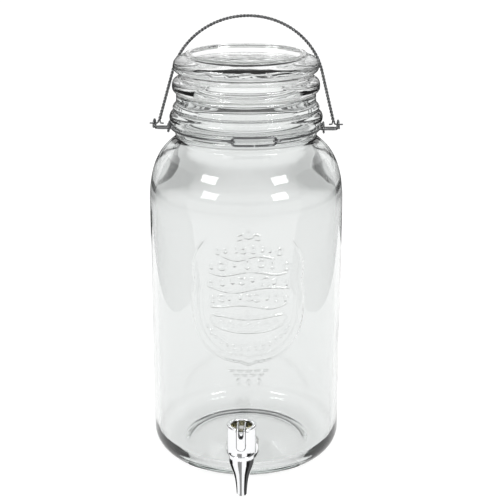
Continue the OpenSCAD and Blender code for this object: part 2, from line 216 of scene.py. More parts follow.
def curve(points, per=4):
    """Centripetal Catmull-Rom through the points."""
    p = [np.array(q, float) for q in points]
    n = len(p)
    out = []
    for i in range(n - 1):
        a, b, c, d = (p[min(max(i + k, 0), n - 1)] for k in (-1, 0, 1, 2))
        if i == 0:
            a = 2 * b - c
        if i == n - 2:
            d = 2 * c - b
        t0 = 0.0
        t1 = t0 + max(np.linalg.norm(b - a), 1e-6) ** 0.5
        t2 = t1 + max(np.linalg.norm(c - b), 1e-6) ** 0.5
        t3 = t2 + max(np.linalg.norm(d - c), 1e-6) ** 0.5
        for k in range(per):
            t = t1 + (t2 - t1) * k / per
            a1 = (t1 - t) / (t1 - t0) * a + (t - t0) / (t1 - t0) * b
            a2 = (t2 - t) / (t2 - t1) * b + (t - t1) / (t2 - t1) * c
            a3 = (t3 - t) / (t3 - t2) * c + (t - t2) / (t3 - t2) * d
            b1 = (t2 - t) / (t2 - t0) * a1 + (t - t0) / (t2 - t0) * a2
            b2 = (t3 - t) / (t3 - t1) * a2 + (t - t1) / (t3 - t1) * a3
            out.append(tuple((t2 - t) / (t2 - t1) * b1 + (t - t1) / (t2 - t1) * b2))
    out.append(tuple(p[-1]))
    return out


def revolve(name, profile, mat, body, segs=96, centre=(0, 0), closed=False):
    """Turns a profile of (r, z) points; one with r under 0.001 becomes a single vertex."""
    verts, rows = [], []
    for r, z in profile:
        if r < 1e-3:
            rows.append([len(verts)] * segs)
            verts.append((centre[0], centre[1], z))
        else:
            rows.append(list(range(len(verts), len(verts) + segs)))
            for k in range(segs):
                a = 2 * PI * k / segs
                verts.append((centre[0] + r * math.cos(a), centre[1] + r * math.sin(a), z))
    return make(name, verts, skin(rows, closed), mat, body)


# a wire's rounded-off end: (share of the dome's length, share of the wire's radius), tip first
DOME = ((1.0, 0.45), (0.93, 0.68), (0.72, 0.87), (0.38, 0.97))
DOME_LENGTH = 0.45                     # of the wire's radius


def tube(name, pts, r, mat, body, sides=16):
    """Round wire along points in mm, with rounded-off ends."""
    p = [np.array(q, float) for q in pts]
    t = [p[min(i + 1, len(p) - 1)] - p[max(i - 1, 0)] for i in range(len(p))]
    t = [v / np.linalg.norm(v) for v in t]
    n = np.cross(t[0], (1, 0, 0) if abs(t[0][2]) > 0.8 else (0, 0, 1))
    n /= np.linalg.norm(n)
    rings = []
    for i in range(len(p)):
        n = n - np.dot(n, t[i]) * t[i]
        n /= np.linalg.norm(n)
        rings.append((p[i], t[i], n.copy(), r))
    e = DOME_LENGTH * r
    p0, d0, m0, _ = rings[0]
    p1, d1, m1, _ = rings[-1]
    start = [(p0 + d0 * e * (1 - h), d0, m0, r * g) for h, g in DOME]
    end = [(p1 - d1 * e * (1 - h), d1, m1, r * g) for h, g in DOME[::-1]]
    middle = [q for q in rings[1:-1] if np.linalg.norm(q[0] - p0) > e and np.linalg.norm(q[0] - p1) > e]
    rings = start + middle + end
    verts = []
    for c, d, m, rr in rings:
        b = np.cross(d, m)
        for k in range(sides):
            a = 2 * PI * k / sides
            verts.append(tuple(c + rr * (math.cos(a) * m + math.sin(a) * b)))
    faces = [[i * sides + k, i * sides + (k + 1) % sides, (i + 1) * sides + (k + 1) % sides, (i + 1) * sides + k]
             for i in range(len(rings) - 1) for k in range(sides)]
    faces += [list(range(sides)), list(range((len(rings) - 1) * sides, len(rings) * sides))]
    return make(name, verts, faces, mat, body)


# ------------------------------------------------------------------ sizes in mm, from the frame
lo, hi = mm_box("jar")
BODY_R, RIM = hi[0], hi[2]
WALL_TOP = RIM - 87.5                  # top of the straight wall
GROOVE = BODY_R - 19.2                 # neck groove that holds the band
MOUTH = GROOVE - 8.0
NECK_IN = GROOVE - 8                   # inside of the neck below the mouth
WALL, HEEL, FLOOR, PUSH = 4.5, 18.0, 8.0, 3.5
lo, hi = mm_box("lever_pin")
TAP_Y = (lo[1] + hi[1]) / 2
lo, hi = mm_box("tap_bonnet")
BAR_Z, BAR_TOP = lo[2], hi[2]
BAR_R = 11.3
SHANK_Z = BAR_Z - 5.4
PIVOT_Z = RIM - 25.5
BAND_Z = RIM - 26.5
WIRE = 0.85


# ------------------------------------------------------------------ jar: its profile
def sh(f, g):
    """A point on the shoulder: f of the way out, g of the way up."""
    return (GROOVE - 2.4 + (BODY_R - GROOVE + 2.4) * f, WALL_TOP + (RIM - 34.5 - WALL_TOP) * g)


def arc_rz(cx, cz, r, a0, a1, n):
    turn = [rad(a0 + (a1 - a0) * i / n) for i in range(n + 1)]
    return [(cx + r * math.cos(a), cz + r * math.sin(a)) for a in turn]


heel = arc_rz(BODY_R - HEEL, HEEL, HEEL, -82, 0, 20)
under = curve([(0, PUSH), (BODY_R - 34, PUSH - 0.6), (BODY_R - 27, 0.7), (BODY_R - 25.2, 0)], 5)
under += [(BODY_R - 23, 0), (BODY_R - 20.5, 0)]
SHOULDER = ((1, 0), (0.995, 0.1), (0.98, 0.2), (0.95, 0.31), (0.9, 0.42), (0.825, 0.535), (0.72, 0.645),
            (0.585, 0.745), (0.43, 0.825), (0.27, 0.89), (0.13, 0.94), (0.04, 0.975), (0, 1.0))
# neck, from the band's groove over the bulge to the rim: (out from GROOVE, below the rim)
NECK = ((-1.9, 31.5), (-0.7, 29.4), (0, 28), (0, 25), (0.4, 23.9), (1.5, 22.3), (2.15, 20.6), (2.3, 19), (2.05, 17.3),
        (1.2, 15.8), (-0.1, 14.7), (-1, 13.9), (-1, 13.1), (-0.5, 12.2), (-0.3, 11.3), (-0.5, 10.4), (-1.3, 9.4),
        (-2.4, 8.3), (-3, 6.5), (-3.1, 4), (-3.2, 1.6), (-3.7, 0.5), (-4.5, 0))
shoulder = curve([(BODY_R, WALL_TOP - 1)] + [sh(f, g) for f, g in SHOULDER] +
                 [(GROOVE + x, RIM - z) for x, z in NECK], 3)
BADGE_Z = 84                           # from here up the rows are close enough to carry the badge
wall_rows = [(BODY_R, z) for z in np.arange(HEEL + 4, BADGE_Z, 12)]
wall_rows += [(BODY_R, z) for z in np.arange(BADGE_Z, WALL_TOP - 1.2, 0.62)]
lip = [(MOUTH + 1.4, RIM), (MOUTH + 0.75, RIM - 0.2), (MOUTH + 0.25, RIM - 0.8), (MOUTH, RIM - 1.8), (MOUTH, RIM - 9),
       (MOUTH, RIM - 26)]
SHOULDER_IN = ((0.02, 0.96), (0.12, 0.9), (0.28, 0.82), (0.45, 0.735), (0.62, 0.625), (0.77, 0.5), (0.875, 0.38),
               (0.95, 0.24), (0.985, 0.12), (1, 0))
inside = curve([(NECK_IN, RIM - 27), (NECK_IN, RIM - 35)] +
               [(NECK_IN + (BODY_R - WALL - NECK_IN) * f, WALL_TOP - 2 + (RIM - 36 - WALL_TOP) * g)
                for f, g in SHOULDER_IN], 3)
inside += [(BODY_R - WALL, z) for z in np.linspace(WALL_TOP - 8, HEEL + FLOOR, 14)]
inside += arc_rz(BODY_R - WALL - HEEL + 4, FLOOR + HEEL - 4, HEEL - 4, 0, -90, 18)[1:]
inside += [(40, FLOOR + 0.25), (20, FLOOR + 0.35), (0, FLOOR + 0.4)]


# ------------------------------------------------------------------ jar: its raised badge
BADGE = rad(-90 + 3.5)                 # the badge's middle, a little to the right of the tap
RELIEF = 1.6                           # height of all the lines, over the heights given below


def seg_dist(u, v, a, b):
    ax, ay = a
    dx, dy = b[0] - ax, b[1] - ay
    t = np.clip(((u - ax) * dx + (v - ay) * dy) / (dx * dx + dy * dy + 1e-12), 0, 1)
    return np.hypot(u - ax - t * dx, v - ay - t * dy)


def line_dist(u, v, pts):
    d = np.full(u.shape, 1e9)
    for a, b in zip(pts, pts[1:]):
        d = np.minimum(d, seg_dist(u, v, a, b))
    return d


def ring_dist(u, v, x, y, r):
    return abs(np.hypot(u - x, v - y) - r)


def ridge(d, w, h):
    """A rounded raised line, half-width w and height h."""
    return RELIEF * h * np.clip(1 - (d / w) ** 2, 0, 1) ** 1.2


def cartouche(s):
    """Left half and right half of a shield outline; s shrinks it."""
    w, mid, low = 45.5 - s, 150, 104.5 + s
    pts = []
    for i in range(0, 19):
        a = PI / 2 * i / 18
        pts.append((w * math.sin(a) ** 0.86, mid - (mid - low) * math.cos(a) ** 0.80))
    pts[0] = (0, low - 2.2)
    pts += [(w + 0.2, 158), (w - 1.4, 163), (w - 2.4, 168), (w - 1.4, 173), (w - 0.4, 178), (w - 1.8, 186),
            (w - 5, 194), (w - 10, 201)]
    return [(-x, y) for x, y in pts[::-1]] + pts[1:]


# Each motif gives (distance from its line, half-width, height) over the grid of u, along the wall, and v, up.
def shield(u, v):
    yield line_dist(u, v, cartouche(0)), 0.95, 0.85
    yield np.where(v < 166, line_dist(u, v, cartouche(5.5)), 9), 0.8, 0.55


def bubbles(u, v):
    """Rows of rings, dots and drops."""
    rng = np.random.default_rng(7)
    for z0, n, r0, bow in ((194.5, 8, 3.0, 2.7), (183, 7, 3.9, 3.6), (169.5, 8, 4.4, 4.0), (156.5, 9, 3.6, 4.2)):
        span = 58 if z0 < 190 else 48
        for k in range(n):
            x = -span / 2 + span * k / (n - 1) + rng.uniform(-1.3, 1.3)
            y = z0 + bow * math.cos(x / span * PI) - bow / 2 + rng.uniform(-1, 1)
            r = r0 * rng.uniform(0.62, 1.05)
            kind = rng.integers(0, 3)
            if kind == 0:
                yield ring_dist(u, v, x, y, r * 0.8), 0.75, 0.75
            elif kind == 1:
                yield np.maximum(0, np.hypot(u - x, (v - y) * 0.8) - r * 0.35), 0.8, 0.8
            else:
                drop = [(x, y + r), (x - r * 0.55, y), (x - r * 0.4, y - r * 0.6), (x, y - r * 0.85),
                        (x + r * 0.4, y - r * 0.6), (x + r * 0.55, y), (x, y + r)]
                yield line_dist(u, v, drop), 0.7, 0.75


def waves(u, v):
    """Long loose waves between the rows."""
    for z0, a, span, ph in ((189.0, 1.7, 40, 0.3), (176.3, 2.2, 60, 1.4), (163.2, 1.8, 64, 0.2),
                            (149.6, 1.9, 60, 2.2)):
        pts = [(x, z0 + a * math.sin(x / span * 2 * PI * 1.25 + ph) + 0.0016 * x * x)
               for x in np.linspace(-span / 2, span / 2, 40)]
        yield line_dist(u, v, pts), 0.75, 0.65


def ribbon(u, v):
    """A ribbon with a wave inside."""
    low = [(-30, 138), (-27, 134), (-20, 131.2), (-10, 129.4), (0, 129), (10, 129.4), (20, 131.2), (27, 134), (30, 138)]
    high = [(27, 142.4), (20, 142), (10, 140.6), (0, 140), (-10, 140.6), (-20, 142), (-27, 142.4), (-30, 138)]
    yield line_dist(u, v, low + high), 0.8, 0.7
    for k in range(7):
        x = -21 + 7 * k
        y = 135 + 0.0035 * x * x
        yield line_dist(u, v, [(x - 2.2, y - 1.6), (x, y + 2.2), (x + 2.2, y - 1.6)]), 0.7, 0.75


def beads(u, v):
    """Rings and dots in turn along the foot of the shield."""
    for k in range(15):
        a = rad(-62 + 124 * k / 14)
        x, y = 36.5 * math.sin(a), 150 - 34.5 * math.cos(a) ** 0.9
        if k % 2:
            yield ring_dist(u, v, x, y, 2.3 * 0.75), 0.7, 0.7
        else:
            yield np.maximum(0, np.hypot(u - x, v - y) - 1.6 * 0.45), 0.8, 0.75


def foot(u, v):
    """Two rows of dashes and three drops below the shield."""
    for z, half, places in ((97, 2.2, (-13, -6.5, 0, 6.5, 13)), (93.3, 2.0, (-9.5, -3.2, 3.2, 9.5))):
        for x in places:
            yield seg_dist(u, v, (x - half, z), (x + half, z)), 0.8, 0.6
    for x in (-17.5, 17.5):
        yield seg_dist(u, v, (x, 91.5), (x, 98.8)), 0.7, 0.5
    for x, y in ((-8, 87.6), (0, 86.6), (8, 87.6)):
        drop = [(x, y + 2.6), (x - 1.5, y), (x, y - 1.9), (x + 1.5, y), (x, y + 2.6)]
        yield line_dist(u, v, drop), 0.75, 0.7


def crest(u, v):
    """A curl on each side of a small diamond, above the rows."""
    for s in (-1, 1):
        curl = [(s * 2, 205), (s * 5, 208.5), (s * 9, 206.5), (s * 8, 203.5), (s * 5, 204.5)]
        yield line_dist(u, v, curl), 0.75, 0.7
    yield line_dist(u, v, [(0, 212), (-2, 207.6), (0, 204.6), (2, 207.6), (0, 212)]), 0.75, 0.7


def relief(u, v):
    h = np.zeros(u.shape)
    for motif in (shield, bubbles, waves, ribbon, beads, foot, crest):
        for d, w, a in motif(u, v):
            h = np.maximum(h, ridge(d, w, a))
    return h


# ------------------------------------------------------------------ jar: its mesh
FRONT_STEP, FRONT_SPAN = rad(0.46), rad(41)     # the columns are close together only round the badge
around = list(np.arange(BADGE - FRONT_SPAN, BADGE + FRONT_SPAN, FRONT_STEP))
around += list(np.linspace(BADGE + FRONT_SPAN, BADGE - FRONT_SPAN + 2 * PI, 116)[:-1])
angles = [float(a) for a in around]
outer = under + heel[1:] + wall_rows + shoulder
# relief on the outer skin only, worked out once for the whole grid
U = ((np.array(angles) - BADGE + PI) % (2 * PI) - PI) * BODY_R
relief_rows = {i: z for i, (r, z) in enumerate(outer) if 80 < z < 216 and r > BODY_R - 1.5}
UU, VV = np.meshgrid(U, np.array(list(relief_rows.values())))
near = np.abs(U) < 52
HH = np.zeros(UU.shape)
HH[:, near] = relief(UU[:, near], VV[:, near])
row_of = {i: k for k, i in enumerate(relief_rows)}

verts, rows = [], []
for i, (r, z) in enumerate(outer + lip + inside):
    if r < 1e-3:
        rows.append([len(verts)] * len(angles))
        verts.append((0, 0, z))
        continue
    rows.append(list(range(len(verts), len(verts) + len(angles))))
    for k, a in enumerate(angles):
        rr = r + (HH[row_of[i]][k] if i in row_of else 0)
        verts.append((rr * math.cos(a), rr * math.sin(a), z))
jar = make("glass_jar", verts, skin(rows), M_GLASS, "jar")

HOLE_R = 7.9                           # hole in the wall for the tap's shank
bm = bmesh.new()
bmesh.ops.create_cone(bm, cap_ends=True, segments=96, radius1=HOLE_R * MM, radius2=HOLE_R * MM, depth=0.03,
                      matrix=Matrix.Translation((0, -(BODY_R - WALL / 2) * MM, 0.033)) @ Matrix.Rotation(PI / 2, 4, "X"))
cut_away(jar, "shank_hole", bm)
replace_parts(jar, "jar")

# ------------------------------------------------------------------ lid and its ring
lo, hi = mm_box("lid")
LID_R, LID_TOP, LID_H = hi[0], hi[2], 30.0
SEAT, PLUG_R = LID_TOP - LID_H, MOUTH - 3.4
# side and top: (in from LID_R, above the seat)
LID_SIDE = (
    (2.4, 0), (1, 0.5), (0.2, 1.9), (0, 3.9), (0.15, 6), (0.8, 7.9), (2.2, 9.3), (3.9, 10.3), (5, 11.4), (5.2, 12.6),
    (4.8, 13.8), (3.6, 15), (2.1, 16.1), (1.2, 17.8), (0.9, 19.8), (1.1, 21.8), (1.9, 23.6), (3.3, 25), (5.4, 26.1),
    (8, 26.9), (9.6, 27.6), (10.4, 28.6), (11.2, 29.6), (12.4, 30), (13.6, 29.6), (14.6, 28.2), (16, 25.5), (18, 24),
    (21, 23.4))
CROWN = SEAT + LID_H
# hollow and skirt, from the middle of the underside outward
skirt = [(PLUG_R - 8, CROWN - 12.7), (PLUG_R - 6.5, CROWN - 12.9), (PLUG_R - 5.4, CROWN - 13.6),
         (PLUG_R - 4.9, CROWN - 14.8), (PLUG_R - 4.6, SEAT + 6), (PLUG_R - 4.4, SEAT), (PLUG_R - 4.2, SEAT - 3.9),
         (PLUG_R - 3.6, SEAT - 4.5), (PLUG_R - 0.6, SEAT - 4.5), (PLUG_R, SEAT - 3.9), (PLUG_R, SEAT - 0.4)]
lid_profile = [(0, CROWN - 12.5), (PLUG_R - 16, CROWN - 12.6)] + curve(skirt, 3)
lid_profile += [(PLUG_R + 0.3, SEAT), (LID_R - 3, SEAT)] + curve([(LID_R - x, SEAT + z) for x, z in LID_SIDE], 4)
lid_profile += [(LID_R - 30, CROWN - 6.75), (0, CROWN - 6.9)]
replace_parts(revolve("glass_lid", lid_profile, M_LID, "lid", segs=192), "lid")

lo, hi = mm_box("lid_gasket")
z0, z1, ro, ri = lo[2], hi[2], hi[0], PLUG_R + 0.1
ring_profile = [(ri, z0 + 0.3), (ri + 0.3, z0), (ro - 0.4, z0), (ro, z0 + 0.4), (ro, z1 - 0.4), (ro - 0.4, z1),
                (ri + 0.3, z1), (ri, z1 - 0.3)]
ring = revolve("lid_ring", ring_profile, M_SILICONE, "lid", segs=160, closed=True)
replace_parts(ring, "lid_gasket")

# ------------------------------------------------------------------ wire band, clasp, ears
BAND_C = GROOVE + WIRE + 0.35
EYE_C, EYE_X = 3.1, GROOVE + WIRE + 2.05
EYE_Z = BAND_Z - 1.5
LEG_Z, LEG_Y, RING_C = PIVOT_Z - 3.35, 3.6, 3.15
PIVOT_X = GROOVE + 14.6
BEND_X = PIVOT_X - 3.7
LINK_C = BAND_C + 2 * WIRE + 0.2
LINK_W, LINK_H, TURN = 36.0, 7.6, 8.0
DEG = 57.3                             # degrees in a radian, as rounded in the design


def mirror_x(p):
    return [(-q[0], q[1], q[2]) for q in p]


def on_circle(r, deg, z):
    return (r * math.cos(rad(deg)), r * math.sin(rad(deg)), z)


def eye_path(s):
    lead = [(BAND_C * math.cos(rad(13)), s * BAND_C * math.sin(rad(13)), BAND_Z),
            (BAND_C * math.cos(rad(11)) + 0.3, s * BAND_C * math.sin(rad(11)), BAND_Z - 0.4),
            (EYE_X - 0.15, s * 9.2, EYE_Z + 0.2), (EYE_X - 0.02, s * 8.2, EYE_Z - 0.2)]
    return lead + [(EYE_X + 0.02 * i, s * (4.6 - EYE_C * math.cos(rad(180 - 22 * i))),
                    EYE_Z + EYE_C * math.sin(rad(180 - 22 * i))) for i in range(1, 16)]


def ring_arc(a0, a1, n):
    return [on_circle(BAND_C, a0 + (a1 - a0) * i / n, BAND_Z) for i in range(n + 1)]


HOOK_A = math.degrees(math.asin((LINK_W / 2 - WIRE - 0.2) / LINK_C))   # half angle of the link's end bars


def hook_path(c):
    """Behind the link's end bar and back over it."""
    o = LINK_C - BAND_C
    flat = [(-c * o * math.cos(rad(-90 + 180 * i / 8)), LINK_C + o * math.sin(rad(-90 + 180 * i / 8)))
            for i in range(9)]
    flat += [(c * 1.4, LINK_C + o), (c * 2.6, LINK_C + o - 0.1)]
    mid = -90 + TURN + c * HOOK_A
    return [on_circle(r, mid + x / r * DEG, BAND_Z) for x, r in flat]


def link_path():
    """An oblong lying on the neck, its ends meeting at the bottom."""
    h = LINK_H / 2 - WIRE
    l = LINK_W / 2 - WIRE - h
    flat = [(0.3 + (l - 0.3) * i / 6, -h) for i in range(7)]
    flat += [(l + h * math.cos(rad(-90 + 20 * i)), h * math.sin(rad(-90 + 20 * i))) for i in range(1, 10)]
    flat += [(l - 2 * l * i / 12, h) for i in range(1, 13)]
    flat += [(-l + h * math.cos(rad(90 + 20 * i)), h * math.sin(rad(90 + 20 * i))) for i in range(1, 10)]
    flat += [(-l + (l - 0.3) * i / 6, -h) for i in range(1, 7)]
    return [on_circle(LINK_C, -90 + TURN + x / LINK_C * DEG, BAND_Z + z) for x, z in flat]


def ear_half(s):
    hook_x = EYE_X - 2 * WIRE
    return [(hook_x - 0.1, s * LEG_Y, LEG_Z + 2.6), (hook_x - 0.1, s * LEG_Y, LEG_Z + 1.2),
            (hook_x + 0.15, s * LEG_Y, LEG_Z + 0.35), (hook_x + 0.9, s * LEG_Y, LEG_Z), (EYE_X + 1, s * LEG_Y, LEG_Z),
            (PIVOT_X - 4.4, s * LEG_Y, LEG_Z), (PIVOT_X - 2.6, s * (LEG_Y - 0.2), LEG_Z),
            (PIVOT_X - 1.4, s * (LEG_Y - 0.9), LEG_Z + 0.05)]


def jar_wire(name, node, path, per=4, r=WIRE):
    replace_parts(tube(name, curve(path, per), r, M_WIRE_PAINTED_DARK, "jar"), node)


jar_wire("band_back_wire", "band_back", eye_path(1)[::-1] + ring_arc(18, 162, 28) + mirror_x(eye_path(1)))
jar_wire("band_right_wire", "band_front_right",
         eye_path(-1)[::-1] + ring_arc(-18, -90 + TURN + HOOK_A + 3, 10) + hook_path(1))
jar_wire("band_left_wire", "band_front_left",
         mirror_x(eye_path(-1))[::-1] + ring_arc(-162, -90 + TURN - HOOK_A - 3, 10) + hook_path(-1))
jar_wire("clasp_wire_link", "clasp_link", link_path(), 3)

coil = [(PIVOT_X - 0.9 + 1.8 * i / 20, RING_C * math.cos(rad(-108 + 396 * i / 20)),
         PIVOT_Z + RING_C * math.sin(rad(-108 + 396 * i / 20))) for i in range(21)]
ear = ear_half(-1) + coil
ear += [(PIVOT_X + 0.7, LEG_Y - 1.5, LEG_Z - 0.2), (PIVOT_X - 0.1, LEG_Y - 0.7, LEG_Z - 0.1)] + ear_half(1)[6::-1]
jar_wire("ear_right_wire", "ear_right", ear, r=WIRE - 0.05)
jar_wire("ear_left_wire", "ear_left", mirror_x(ear), r=WIRE - 0.05)

# ------------------------------------------------------------------ twisted bail
REACH, ARCH, LEAN, STRAND_R, TWIST = 93.5, 61.2, 33.0, 0.65, 5.6
ARCH_Z = REACH - ARCH                  # the arch's centre, above the pivot
FOOT = 2                               # where the straight legs begin, above the pivot
GAP = STRAND_R + 0.07                  # from the bail's middle to each strand's middle
reach_d = math.hypot(BEND_X, FOOT - ARCH_Z)
tang_a = math.acos(ARCH / reach_d) + math.atan2(FOOT - ARCH_Z, BEND_X)
tang_p = (ARCH * math.cos(tang_a), ARCH_Z + ARCH * math.sin(tang_a))
leg_l = math.hypot(BEND_X - tang_p[0], FOOT - tang_p[1])
run = 2 * leg_l + ARCH * (PI - 2 * tang_a)
turns = round(run / TWIST)


def centre_line(s):
    """Point (x, up) and inward normal of the bail, s mm from the right-hand foot."""
    if s < leg_l:
        k = s / leg_l
        return BEND_X + (tang_p[0] - BEND_X) * k, FOOT + (tang_p[1] - FOOT) * k, tang_a + PI
    if s > run - leg_l:
        k = (s - run + leg_l) / leg_l
        return -tang_p[0] + (tang_p[0] - BEND_X) * k, tang_p[1] + (FOOT - tang_p[1]) * k, -tang_a
    a = tang_a + (s - leg_l) / ARCH
    return ARCH * math.cos(a), ARCH_Z + ARCH * math.sin(a), a + PI


def strand(s, a, phase):
    """A point (x, up, across) of a strand at distance a from the centre line."""
    x, r, n = centre_line(s)
    f = phase + 2 * PI * turns * s / run
    return (x + a * math.cos(f) * math.cos(n), r + a * math.cos(f) * math.sin(n), a * math.sin(f))


def stand(p):
    """Puts a point (x, up, across) of the upright bail where it leans."""
    x, r, y = p
    s, c = math.sin(rad(LEAN)), math.cos(rad(LEAN))
    return (x, y * c + r * s, PIVOT_Z - y * s + r * c)


out_end = [(PIVOT_X + 3.9, 0, 0), (PIVOT_X + 2, 0, 0), (PIVOT_X, 0, 0), (PIVOT_X - 1.2, 0, 0),
           (BEND_X + GAP + 1, 0.12, 0), (BEND_X + GAP + 0.35, 0.5, 0), (BEND_X + GAP + 0.05, 1.2, 0)]
in_end = [(GROOVE + 7.2, 0, 0), (BEND_X - GAP - 1.9, 0, 0), (BEND_X - GAP - 1, 0.12, 0),
          (BEND_X - GAP - 0.35, 0.5, 0), (BEND_X - GAP - 0.05, 1.2, 0)]
STEPS = turns * 18
for tag, end, phase in (("a", out_end, PI), ("b", in_end, 0.0)):
    twist = [strand(run * i / STEPS, GAP, phase) for i in range(STEPS + 1)]
    path = [stand(q) for q in curve(end, 3) + twist + mirror_x(curve(end, 3))[::-1]]
    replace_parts(tube("bail_wire_" + tag, path, STRAND_R, M_WIRE_PAINTED_DARK, "bail", sides=14), "bail_strand_" + tag)

# ------------------------------------------------------------------ tap
VALVE = SHANK_Z - 4.5
NOZ = SHANK_Z + 4.5
RECESS = BAR_TOP - 7
WEB = RECESS - 2.6
RECESS_R = 8.1
tap_profile = curve([(3.2, 1.8), (3.3, 1.35), (3.5, 1.22), (3.75, 1.5), (3.95, 2.4), (4.0, 3.2), (4.2, 5.5), (4.55, 9),
                     (5, 12.5), (5.6, 16), (6.5, 19.5), (7.6, 22.7), (8.7, 26), (9.6, VALVE + 1)], 4)
tap_profile += [(10, NOZ - 0.7), (9.95, NOZ - 0.3), (9.6, NOZ), (9.2, NOZ + 0.05), (9.2, WEB - 1.1), (9.0, WEB - 0.9),
                (6.9, WEB - 0.9), (6.8, WEB - 1.1), (6.8, VALVE), (4.4, VALVE), (4, VALVE - 1), (3.2, 12)]
nozzle = revolve("tap_nozzle", tap_profile, M_CHROME, "jar", segs=72, centre=(0, TAP_Y), closed=True)
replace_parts(nozzle, "tap_body")


def y_turned(name, prof, mat, body, segs=72):
    """A turned piece on the shank's axis: prof is (radius, y)."""
    verts, rows = [], []
    for r, y in prof:
        rows.append(list(range(len(verts), len(verts) + segs)))
        verts += [(r * math.cos(2 * PI * k / segs), y, SHANK_Z + r * math.sin(2 * PI * k / segs)) for k in range(segs)]
    return make(name, verts, skin(rows, closed=True), mat, body)


FLANGE = mm_box("outer_washer")[0][1] - 2.0
SHANK_R, SHANK_IN = 7.4, mm_box("tap_body")[1][1]
THREAD_PITCH, THREAD_DEPTH = 1.5, 0.7
thread = []
y = FLANGE + 2.2
while y < SHANK_IN - 0.8:
    thread += [(SHANK_R - THREAD_DEPTH, y), (SHANK_R - 0.05, y + 0.45), (SHANK_R - 0.05, y + 0.65),
               (SHANK_R - THREAD_DEPTH, y + 1.1)]
    y += THREAD_PITCH
shank_profile = [(5.0, TAP_Y + 7.6), (5.0, FLANGE - 0.8), (5.4, FLANGE - 0.2), (6.2, FLANGE + 0.02),
                 (12.0, FLANGE + 0.02), (12.45, FLANGE + 0.2), (12.6, FLANGE + 0.6), (12.6, FLANGE + 1.6),
                 (12.3, FLANGE + 2.0), (SHANK_R - 0.1, FLANGE + 2.0)] + thread
shank_profile += [(SHANK_R - THREAD_DEPTH, SHANK_IN - 0.1), (SHANK_R - 1.2, SHANK_IN), (3.7, SHANK_IN),
                  (3.6, SHANK_IN - 0.3), (3.6, TAP_Y + 7.6)]
y_turned("tap_shank", shank_profile, M_CHROME, "jar")

# bonnet: a turned cap with a rolled rim, notched for the lever
bonnet_profile = [
    (9.3, BAR_Z + 0.3), (9.5, BAR_Z), (BAR_R - 0.5, BAR_Z), (BAR_R - 0.15, BAR_Z + 0.25), (BAR_R, BAR_Z + 0.8),
    (BAR_R, BAR_Z + 8), (BAR_R, BAR_TOP - 3.4), (BAR_R + 0.02, BAR_TOP - 2.7), (BAR_R + 0.22, BAR_TOP - 2.2),
    (BAR_R + 0.25, BAR_TOP - 1.4), (BAR_R + 0.12, BAR_TOP - 0.7), (BAR_R - 0.25, BAR_TOP - 0.2), (BAR_R - 0.9, BAR_TOP),
    (8.9, BAR_TOP - 0.15), (8.4, BAR_TOP - 0.4), (8.15, BAR_TOP - 0.9), (RECESS_R, BAR_TOP - 1.6),
    (RECESS_R, RECESS + 0.3), (7.8, RECESS), (2.4, RECESS), (2.2, RECESS - 0.2), (2.2, WEB + 0.2), (2.4, WEB),
    (9.1, WEB), (9.3, WEB - 0.2)]
bonnet = revolve("tap_cap", bonnet_profile, M_CHROME, "jar", centre=(0, TAP_Y), closed=True)
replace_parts(bonnet, "tap_bonnet")
NOTCH_W = 8.4
bm = bmesh.new()
bmesh.ops.create_cube(bm, size=1.0, matrix=Matrix.Translation((0, (TAP_Y - BAR_R + 1.0) * MM, (BAR_TOP - 0.4) * MM)) @
                      Matrix.Diagonal((NOTCH_W * MM, 10 * MM, 6 * MM, 1)))
foot_edges = [e for e in bm.edges
              if abs(e.verts[0].co.y - e.verts[1].co.y) > 0.005 and e.verts[0].co.z < BAR_TOP * MM]
bmesh.ops.bevel(bm, geom=foot_edges, offset=0.0009, segments=4, affect="EDGES")
cut_away(bonnet, "notch", bm)
bonnet.data.materials.append(M_BRASS)
bonnet.data.materials.append(M_PAINTED_SHADE_EDGE)
IN_RECESS, PAINTED_SHADE_NOTCH = 1, 2             # material numbers on the cap
for f in bonnet.data.polygons:
    c = f.center / MM
    out = math.hypot(c.x, c.y - TAP_Y)
    if out < RECESS_R + 0.02 and RECESS - 0.3 < c.z < BAR_TOP - 1.2:
        f.material_index = IN_RECESS
    # the notch's side walls get the near-black finish: painted shade where the gap by the lever falls dark
    if (abs(c.x) < NOTCH_W / 2 + 0.05 and c.y < TAP_Y - 8.0 and c.z > BAR_TOP - 3.6 and abs(f.normal.z) < 0.3
            and out < BAR_R - 0.1):
        f.material_index = PAINTED_SHADE_NOTCH


# CAD pieces that keep their shape, with softened edges and their own finish
def dress(o, mat, width=0.00035, angle=40):
    if o.material_slots:
        for s in o.material_slots:
            s.material = mat
    else:
        o.data.materials.append(mat)
    o.modifiers.new("join_faces", "WELD").merge_threshold = 1e-6
    bv = o.modifiers.new("soft_edges", "BEVEL")
    bv.width = width
    bv.segments = 3
    bv.limit_method = "ANGLE"
    bv.angle_limit = rad(angle)
    return bv


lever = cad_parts["tap_lever"]
# the lever's bevelled rims get the near-black finish: painted shade, a dark outline standing in for the shadow gap
# round the lever
lever_bevel_with_painted_shade = dress(lever, M_CHROME, 0.0005, 50)
lever_bevel_with_painted_shade.use_clamp_overlap = False
lever.data.materials.append(M_PAINTED_SHADE_EDGE)
lever_bevel_with_painted_shade.material = len(lever.data.materials) - 1
# faces inside the lever's slot get the near-black finish too: painted shade in the slot
SLOT_W = 3.12                          # the lever's slot, with a little to spare
for f in lever.data.polygons:
    c = (lever.matrix_world @ f.center) / MM
    if abs(c.x) < SLOT_W / 2 and c.y < TAP_Y - 8 and abs(f.normal.y) < 0.6:
        f.material_index = lever_bevel_with_painted_shade.material
FINISH = {"lever_pin": M_STEEL, "valve_stem": M_STEEL, "bonnet_gasket": M_RUBBER, "stem_oring": M_RUBBER,
          "seat_cup": M_RUBBER, "outer_washer": M_SILICONE, "inner_washer": M_SILICONE, "shank_nut": M_PLASTIC}
for node, mat in FINISH.items():
    dress(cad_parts[node], mat)

